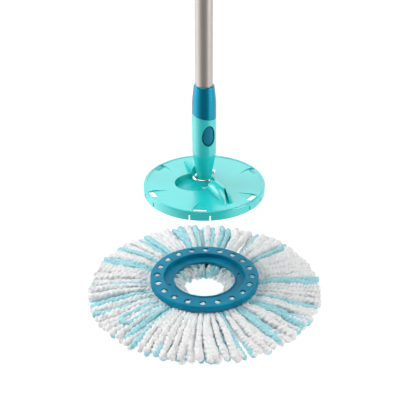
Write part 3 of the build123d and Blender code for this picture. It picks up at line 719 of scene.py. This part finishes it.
# %% [markdown]
# ### Thick and thin
# The clamp squeezes a cord at its root, and the cut end opens up, so a cord fattens on its way out.
# A straight taper would look like a row of pegs, so it also swells a little here and there,
# and its end is round.

# %% Radius along a cord
SWELL = 0.08
SWELL_LENGTH = 8 * MM
FULL_FROM = 0.75
FATTENING = 0.8
CLOSED_END = 0.02
ANY_PHASE = 6.3


def dome(distance, fat):
    """Share of the radius that is left at a distance from a cord's end, which closes like a ball."""
    near = np.clip(distance / fat, CLOSED_END, 1)
    return np.sqrt(1 - (1 - near) ** 2)


def cord_radius(distance, thin, fat, round_start):
    """Radius along a cord: it fattens towards its tip, swells a little here and there and ends in a dome."""
    share = np.linspace(0, 1, len(distance))
    swell = 1 + SWELL * np.sin(distance / SWELL_LENGTH + yarn_random.uniform(0, ANY_PHASE)) * share
    radius = (thin + (fat - thin) * np.minimum(share / FULL_FROM, 1) ** FATTENING) * swell
    radius = radius * dome(distance[-1] - distance, fat)
    return radius * dome(distance, fat) if round_start else radius


print("a cord is at its fattest from", FULL_FROM, "of its length")

# %% [markdown]
# ### Twist
# Two plies round each other give the cord its slanting furrows. They could be two tubes, but that doubles the
# faces for a side that nobody sees. One section with two humps, which turns from ring to ring, shows the same
# furrow. Smoothed random numbers make it uneven, as pile is.

# %% Twisted section
SIDES = 14
TWIST_PITCH = 12.5 * MM
TWIST_SPREAD = (0.8, 1.2)
TWIST_DRIFT = 0.05
PLY_OFFSET = 0.25
PLY_RADIUS = 0.77
LUMPS = 0.15
LUMP_LIMITS = (-1.5, 1.2)
LUMP_WEIGHTS = (1, 2, 3, 4, 5, 4, 3, 2, 1)
round_cord = np.arange(SIDES) * FULL_TURN / SIDES


def lumps(rows):
    """Smoothed random unevenness for rows of points round a cord, about one in size."""
    rough = yarn_random.standard_normal((rows + len(LUMP_WEIGHTS) - 1, SIDES))
    rough = (np.roll(rough, 1, axis=1) + 2 * rough + np.roll(rough, -1, axis=1)) / 4
    smooth = sum(weight * rough[start:start + rows] for start, weight in enumerate(LUMP_WEIGHTS))
    return smooth / smooth.std()


def twisted_section(distance):
    """Reach of the corners of each ring, for a radius of one: two plies that turn along the cord."""
    drift = np.cumsum(yarn_random.normal(0, TWIST_DRIFT, len(distance)))
    turn = FULL_TURN * distance / TWIST_PITCH * yarn_random.uniform(*TWIST_SPREAD) + drift
    ply = round_cord[None, :] - turn[:, None] - yarn_random.uniform(0, ANY_PHASE)
    bulge = PLY_OFFSET * np.abs(np.cos(ply)) + np.sqrt(PLY_RADIUS**2 - (PLY_OFFSET * np.sin(ply)) ** 2)
    return bulge * (1 + LUMPS * np.clip(lumps(len(distance)), *LUMP_LIMITS))


print("twist pitch", TWIST_PITCH / MM, "mm")

# %% [markdown]
# ### Loose fibres
# Mop yarn is fuzzy. Hair would do for a picture, but it is no part of the mesh, so each loose end is one thin
# triangle with its foot inside the cord. It breaks up the outline and costs a single face.

# %% Loose fibres
FIBRE_SPACING = 0.55 * MM
FIBRE_LENGTH = 1.9 * MM
FIBRE_LENGTHS = (0.5, 1.2)
FIBRE_WIDTH = 0.22 * MM
FIBRE_ROOT = 0.3 * MM
FIBRE_LEAN = 0.8


def fibres(ring, path, furrow_shade):
    """Loose ends of pile: a thin triangle that leans off the cord at random places."""
    count = int(len(path) * RING_STEP / FIBRE_SPACING)
    row = yarn_random.integers(1, len(path) - 1, count)
    column = yarn_random.integers(0, SIDES, count)
    foot = ring[row, column]
    out = foot - path[row]
    out /= np.maximum(np.linalg.norm(out, axis=1), TINY)[:, None]
    lean = out + FIBRE_LEAN * yarn_random.standard_normal(out.shape)
    lean /= np.linalg.norm(lean, axis=1)[:, None]
    across = np.cross(lean, yarn_random.standard_normal(out.shape))
    across *= FIBRE_WIDTH / 2 / np.linalg.norm(across, axis=1)[:, None]
    end = foot + lean * FIBRE_LENGTH * yarn_random.uniform(*FIBRE_LENGTHS, count)[:, None]
    press(end)
    foot = foot - FIBRE_ROOT * out
    corners = np.stack([foot - across, foot + across, end], axis=1).reshape(-1, 3)
    # Each fibre takes the painted furrow shade of the place at its foot.
    return corners, np.arange(3 * count).reshape(-1, 3), np.repeat(furrow_shade[row, column], 3)


print("a loose fibre every", FIBRE_SPACING / MM, "mm of cord")

# %% [markdown]
# ### Whole cord
# Here the steps come together. The furrow's shade could be painted by hand, but the section already knows it:
# where a ring is drawn in between the plies, the shade is deep.

# %% Whole cord
# Painted shade starts where a ring is drawn in below this share of its radius, and is full this much further
# in.
FURROW_SHADE_FROM = 0.92
FURROW_SHADE_DEPTH = 0.45


def cord(points, thin, fat, round_start=False):
    """Corners, faces and painted furrow shade of one twisted cord; its radius goes from thin to fat."""
    path = smooth_path(points)
    level, upward = across_path(path)
    distance = np.arange(len(path)) * RING_STEP
    radius = cord_radius(distance, thin, fat, round_start)
    bulge = twisted_section(distance)
    reach = radius[:, None] * bulge
    ring = path[:, None, :] + reach[..., None] * (
        np.cos(round_cord)[None, :, None] * level[:, None, :]
        + np.sin(round_cord)[None, :, None] * upward[:, None, :])
    press(ring)
    # Painted shade where the section is drawn in between the plies.
    furrow_shade = np.clip((FURROW_SHADE_FROM - bulge) / FURROW_SHADE_DEPTH, 0, 1)
    ends, end_faces, end_shade = fibres(ring, path, furrow_shade)
    faces = tube_faces(len(path), SIDES) + (end_faces + len(path) * SIDES).tolist()
    return np.concatenate([ring.reshape(-1, 3), ends]), faces, np.concatenate([furrow_shade.ravel(), end_shade])


print("a cord has", SIDES, "sides")

# %% [markdown]
# ## Laying out the head
# Seen from above, the cords lie like the hours on a dial: groups of two to four white ones,
# with one or two aqua ones between, a little lower. The places of the aqua cords are read from the photograph,
# and the white cords fill the room between them. Two more layers lie underneath and show at the tips.
# A random mix of colours would be shorter to write, but a mop is laced in a pattern, and a mix loses it.

# %% Where the cords lie
# Angles are in degrees round the head.
CORD_PITCH = 4.0
# Middle of each group of aqua cords in the top row, and how many they are.
AQUA_GROUPS = [
    (14, 1), (33, 1), (52, 2), (59, 1), (67, 2), (80, 2), (102, 2), (118, 1), (132, 2), (157, 1),
    (171, 1), (180, 1), (207, 2), (264, 2), (283, 2), (301, 2), (315, 1), (338, 2),
]
SWIRL_MEAN = 2.0
SWIRL_SWING = 4.0
SWIRL_MOST_AT = 340


def top_row():
    """Azimuth and colour of each cord of the top row."""
    row = []
    for number, (middle, count) in enumerate(AQUA_GROUPS):
        start = middle - count * CORD_PITCH / 2
        for step in range(count):
            row.append((start + (step + 0.5) * CORD_PITCH, "aqua"))
        following, next_count = AQUA_GROUPS[(number + 1) % len(AQUA_GROUPS)]
        low = middle + count * CORD_PITCH / 2
        high = following - next_count * CORD_PITCH / 2 + (360 if following < middle else 0)
        fill = max(round((high - low) / CORD_PITCH), 1)
        for step in range(fill):
            row.append((low + (step + 0.5) * (high - low) / fill, "white"))
    return row


def swirl(azimuth):
    """How far a tip has swung round from its root on a head that was laid down by hand."""
    return SWIRL_MEAN + SWIRL_SWING * math.cos(math.radians(azimuth - SWIRL_MOST_AT))


def on_head(radius, azimuth, height):
    """Point at a radius from the head's middle, an azimuth and a height."""
    angle = math.radians(azimuth)
    return radius * math.cos(angle), radius * math.sin(angle), height


print(len(top_row()), "cords in the top row")

# %% [markdown]
# ### Routes
# A cord leaves the clamp nearly level, rises over its neighbours and sinks towards the floor at its tip.
# Physics could let it fall there, but hundreds of soft cords take long to settle. So each row has one route
# of a few points, and each cord bends and lifts it a little in its own way.

# %% Routes of the three rows
# Radius and height in millimetres, from inside the clamp to the tip.
ROUTES = {
    "top": [(62, 16.9), (76, 16.3), (83, 16.3), (94, 18.0), (112, 17.0), (136, 13.4), (160, 9.6)],
    "middle": [(62, 11.0), (76, 10.9), (90, 11.8), (112, 10.6), (136, 8.2), (160, 6.2)],
    "floor": [(62, 11.0), (76, 10.2), (87, 7.4), (100, 5.2), (130, 4.8), (160, 4.8)],
}
ROOT_RADIUS = 2.8 * MM
TIP_RADIUS = 5.2 * MM
YARN_REACH = 166.5 * MM
ROOT_LAG = 0.4
WANDER_SPREAD = 1.0
LIFT_SPREAD = 0.5 * MM
# A power above one keeps a cord straight near its root and moves its outer part most.
SWIRL_POWER = 1.5
LIFT_POWER = 2


def route(name, azimuth, reach, wander, rise=0.0):
    """Points of one cord; reach is the tip's radius, wander bends it and rise lifts its outer part."""
    points = []
    first = ROUTES[name][0][0]
    last = ROUTES[name][-1][0]
    for radius, height in ROUTES[name]:
        share = (radius - first) / (last - first)
        out = (first + (reach / MM - first) * share) * MM
        bend = swirl(azimuth) * share**SWIRL_POWER + wander * math.sin(math.pi * share)
        lift = (rise + LIFT_SPREAD * yarn_random.standard_normal()) * share**LIFT_POWER
        points.append(on_head(out, azimuth + bend, max(height * MM + lift, ROOT_RADIUS)))
    return points


print(len(ROUTES), "routes")

# %% [markdown]
# ### Top row
# The top row shows most. Its cords could be copies of one, but cut yarn is never even, so reach, height and
# thickness vary. The tips lie a little higher on the far side, and the aqua cords are thinner and lie lower.

# %% The top row
# Spreads are in millimetres, or in degrees for the root.
TOP_REACH_SPREAD = 3.5
TOP_ROOT_SPREAD = 0.5
TOP_RISE_SPREAD = 1.3
TOP_FATNESS = (0.9, 1.12)
RISE_SWING = 2.2
RISE_MOST_AT = 100
AQUA_DROP = 2.2 * MM
AQUA_FATNESS = 0.86

cords = []
for azimuth, colour in top_row():
    reach = YARN_REACH - abs(yarn_random.normal(0, TOP_REACH_SPREAD)) * MM
    root = azimuth - swirl(azimuth) * ROOT_LAG + yarn_random.normal(0, TOP_ROOT_SPREAD)
    rise = RISE_SWING * math.cos(math.radians(azimuth - RISE_MOST_AT))
    rise = (rise + yarn_random.normal(0, TOP_RISE_SPREAD)) * MM
    fat = TIP_RADIUS * yarn_random.uniform(*TOP_FATNESS)
    if colour == "aqua":
        rise -= AQUA_DROP
        fat *= AQUA_FATNESS
    points = route("top", root, reach, yarn_random.normal(0, WANDER_SPREAD), rise)
    cords.append((root, colour, cord(points, ROOT_RADIUS, fat)))
print(len(cords), "cords on top")

# %% [markdown]
# ### Layers underneath
# Two more layers carry the top row. Plain tubes would do where nothing shows, but their tips show between
# those above, so they are cords like the rest.

# %% The layers underneath
LOWER_CORDS = 90
LOWER_AQUA = [4, 24, 44, 92, 110, 145, 165, 174, 197, 217, 224, 241, 255, 273, 292, 326, 352]
LOWER_AQUA_HALF = 2.4
LOWER_AZIMUTH_SPREAD = 0.6
LOWER_REACH_SPREAD = 3.0
LOWER_FATNESS = (0.88, 1.0)

for number in range(LOWER_CORDS):
    azimuth = (number + 0.5) * 360 / LOWER_CORDS + yarn_random.normal(0, LOWER_AZIMUTH_SPREAD)
    nearest = min(abs((azimuth - middle + 180) % 360 - 180) for middle in LOWER_AQUA)
    colour = "aqua" if nearest < LOWER_AQUA_HALF else "white"
    reach = YARN_REACH - abs(yarn_random.normal(0, LOWER_REACH_SPREAD)) * MM
    layer = "middle" if number % 2 else "floor"
    root = azimuth - swirl(azimuth) * ROOT_LAG
    points = route(layer, root, reach, yarn_random.normal(0, WANDER_SPREAD))
    fat = TIP_RADIUS * yarn_random.uniform(*LOWER_FATNESS)
    cords.append((azimuth, colour, cord(points, ROOT_RADIUS, fat)))
print(len(cords), "cords laid")

# %% [markdown]
# ## Folded cords
# A few aqua cords are folded back on themselves, so that they end in a round bight instead of a cut tip.
# Each could be bent from two cords that meet, but one cord out and back has no seam at the fold.

# %% Bights
# Radius and height in millimetres. The legs of a bight sink from their level to the fold's height.
LEGS = {
    "top": {"start": [(64, 16.6), (80, 16.6), (98, 20.2)], "level": 19.0, "fold": 17.0},
    "floor": {"start": [(64, 11.0), (80, 10.4), (98, 10.2)], "level": 9.0, "fold": 5.2},
}
# Row, azimuth of the fold, its radius in millimetres, and how far apart the legs are in degrees.
BIGHTS = [
    ("top", 195, 142, 6.5), ("floor", 226, 160, 5.0), ("floor", 234, 161, 4.5), ("floor", 249, 161, 5.0),
]
BIGHT_RADIUS = 3.4 * MM
SINK_FROM, SINK_TO = 16, 4

for layer, azimuth, fold, apart in BIGHTS:
    height = LEGS[layer]["fold"]
    halfway = (LEGS[layer]["level"] + height) / 2
    leg = LEGS[layer]["start"] + [(fold - SINK_FROM, halfway), (fold - SINK_TO, height)]
    out, back = (
        [on_head(radius * MM, turn, level * MM) for radius, level in leg]
        for turn in (azimuth - apart / 2, azimuth + apart / 2))
    points = out + [on_head(fold * MM, azimuth, height * MM)] + back[::-1]
    cords.append((azimuth, "aqua", cord(points, BIGHT_RADIUS, BIGHT_RADIUS)))
print(len(BIGHTS), "folded cords")

# %% [markdown]
# ## Loops in the lace holes
# Through each round hole of the ring a bight of yarn bulges up, because the clamp presses the cords together.
# A ball in each hole would fill it too, but yarn shows two humps with a furrow between, so each hole has two.

# %% Lace loops
# The holes are those of the solid ring: their count, the azimuth of the first and the circle they lie on.
LACE_HOLES = 20
LACE_PHASE = 9.3
LACE_CIRCLE = 66.65
LOOP_TOP = 26.1
LOOP_RADIUS = 3.6 * MM
LOOP_HALF_ANGLE = 1.3
LOOP_LEAN = 0.6
# Radius and height of a loop on either side of its top, in millimetres.
LOOP_NEAR = [(61.5, 19.5), (63.2, 23.4)]
LOOP_FAR = [(70.2, 23.4), (71.8, 19.5)]
AQUA_LOOPS = (290, 350)

for number in range(LACE_HOLES):
    azimuth = LACE_PHASE + number * 360 / LACE_HOLES
    for side in (-1, 1):
        turn = azimuth + side * LOOP_HALF_ANGLE
        lean = yarn_random.uniform(-LOOP_LEAN, LOOP_LEAN)
        loop = LOOP_NEAR + [(LACE_CIRCLE + lean, LOOP_TOP)] + LOOP_FAR
        points = [on_head(radius * MM, turn, height * MM) for radius, height in loop]
        colour = "aqua" if AQUA_LOOPS[0] < azimuth < AQUA_LOOPS[1] and side > 0 else "white"
        cords.append((azimuth, colour, cord(points, LOOP_RADIUS, LOOP_RADIUS, round_start=True)))
print(2 * LACE_HOLES, "humps in the lace holes")

# %% [markdown]
# ## Inner fringe
# Round the opening in the middle, the cut ends hang in as a short shaggy fringe. One ring of cords would do,
# but it looks like a comb, so there are two rows, one below the other, and no end hangs quite straight.

# %% Fringe
FRINGE_CORDS = 88
FRINGE_RADII = (52, 46, 40, 35)
# Heights in millimetres of the upper and of the lower row, from the clamp to the tip.
FRINGE_HEIGHTS = ((17.6, 17.2, 15.6, 12.6, 9.4), (11.4, 11.0, 9.4, 8.26, 5.68))
FRINGE_TIPS = (25.5, 33.0)
FRINGE_ROOT_SPREAD = 1.6
FRINGE_BEND_SPREAD = 2.0
FRINGE_THIN = 3.1 * MM
FRINGE_FAT = 3.7 * MM
FRINGE_AQUA = 0.4

for number in range(FRINGE_CORDS):
    azimuth = number * 360 / FRINGE_CORDS + yarn_random.normal(0, FRINGE_ROOT_SPREAD)
    radii = FRINGE_RADII + (yarn_random.uniform(*FRINGE_TIPS),)
    points = [
        on_head(radius * MM, azimuth + yarn_random.normal(0, FRINGE_BEND_SPREAD), height * MM)
        for radius, height in zip(radii, FRINGE_HEIGHTS[number % 2])]
    colour = "aqua" if yarn_random.random() < FRINGE_AQUA else "white"
    cords.append((azimuth, colour, cord(points, FRINGE_THIN, FRINGE_FAT)))
print(len(cords), "cords with loops and fringe")

# %% [markdown]
# ## From cords to pieces
# The solid model holds the yarn as ten white and ten aqua sectors. Each cord could be an object of its own,
# but a few hundred objects are slow to handle, so the cords of a sector become one mesh, which stands in
# for that sector's solid and rides on the mop head.

# %% Build the yarn pieces
SECTORS = 10
SECTOR_SPAN = 360 / SECTORS


def yarn_piece(name, parts, material):
    """One mesh object from several cords, with the painted furrow shade as an attribute."""
    places, faces, shades, start = [], [], [], 0
    for points, sides, furrow_shade in parts:
        places.append(points)
        shades.append(furrow_shade)
        faces.extend([corner + start for corner in face] for face in sides)
        start += len(points)
    piece = smooth_piece(name, np.concatenate(places), faces, material)
    shade = piece.data.attributes.new("furrow_shade", "FLOAT", "POINT")
    shade.data.foreach_set("value", np.concatenate(shades).astype(np.float32))
    return piece


for colour, material in (("white", white_fibre), ("aqua", aqua_fibre)):
    for number in range(SECTORS):
        parts = [
            made for azimuth, cord_colour, made in cords
            if cord_colour == colour and int((azimuth - LACE_PHASE) % 360 // SECTOR_SPAN) == number]
        piece = yarn_piece(f"{colour}_strands_{number + 1:02d}", parts, material)
        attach(piece, "mop_head")
        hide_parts(f"{colour}_yarn_{number + 1:02d}")
